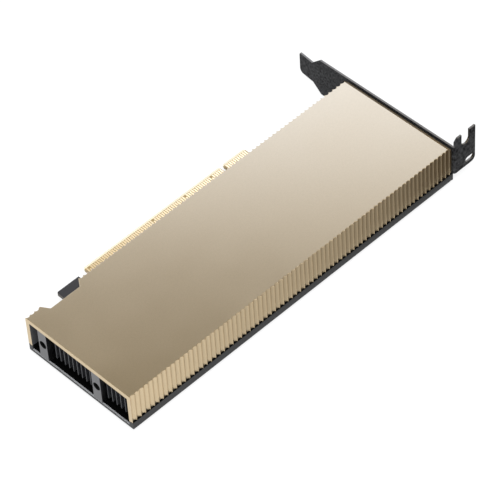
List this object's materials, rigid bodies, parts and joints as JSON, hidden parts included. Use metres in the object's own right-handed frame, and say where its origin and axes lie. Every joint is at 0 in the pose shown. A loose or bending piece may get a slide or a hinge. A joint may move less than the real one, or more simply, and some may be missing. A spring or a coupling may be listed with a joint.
{
  "type": "passive accelerator card",
  "caption": "Half-length low-profile server accelerator card with a fluted duct cover, fins inside, edge connector and steel bracket; cooled by chassis air.",
  "frame": {"origin": "middle of the tray's underside", "axes": "+X from the rear end to the bracket, +Y from the fluted flank to the edge contacts, +Z out of the plain top of the cover"},
  "size_m": [0.1807, 0.0834, 0.0225],
  "materials": {
    "champagne_metal": "fine blasted, anodised champagne gold",
    "tray_metal": "dark grey powder coat",
    "board_laminate": "black solder mask on glass laminate",
    "contact_gold": "gold plated, polished",
    "black_film": "matt polyester film",
    "bracket_steel": "matt black coat on steel",
    "screw_steel": "dark nickel",
    "post_metal": "machined, satin grey",
    "sink_metal": "black anodised",
    "substrate_laminate": "green package laminate",
    "stiffener_metal": "nickel plated",
    "silicon": "polished silicon",
    "thermal_compound": "grey paste",
    "thermal_pad": "soft grey-blue pad",
    "chip_moulding": "black moulding compound",
    "inductor_powder": "pressed iron powder",
    "capacitor_body": "brown moulded body"
  },
  "bodies": {
    "root": {"cover": "champagne_metal", "backplate_tray": "tray_metal", "circuit_board": "board_laminate", "edge_contacts_top": "contact_gold", "edge_contacts_bottom": "contact_gold", "edge_film": "black_film", "tray_insulator": "black_film", "io_bracket": "bracket_steel", "bracket_screws": "screw_steel", "rear_posts": "post_metal", "front_posts": "post_metal", "heatsink_base": "sink_metal", "heatsink_fins": "sink_metal", "heatsink_standoffs": "screw_steel", "heatsink_screws": "screw_steel", "cover_screws": "screw_steel", "processor_substrate": "substrate_laminate", "processor_stiffener": "stiffener_metal", "processor_die": "silicon", "thermal_compound": "thermal_compound", "memory_chips": "chip_moulding", "memory_thermal_pads": "thermal_pad", "power_stages": "chip_moulding", "power_stage_pad": "thermal_pad", "power_inductors": "inductor_powder", "output_capacitors": "capacitor_body", "input_capacitors": "capacitor_body", "firmware_chip": "chip_moulding", "clock_crystal": "stiffener_metal"}
  },
  "joints": []
}
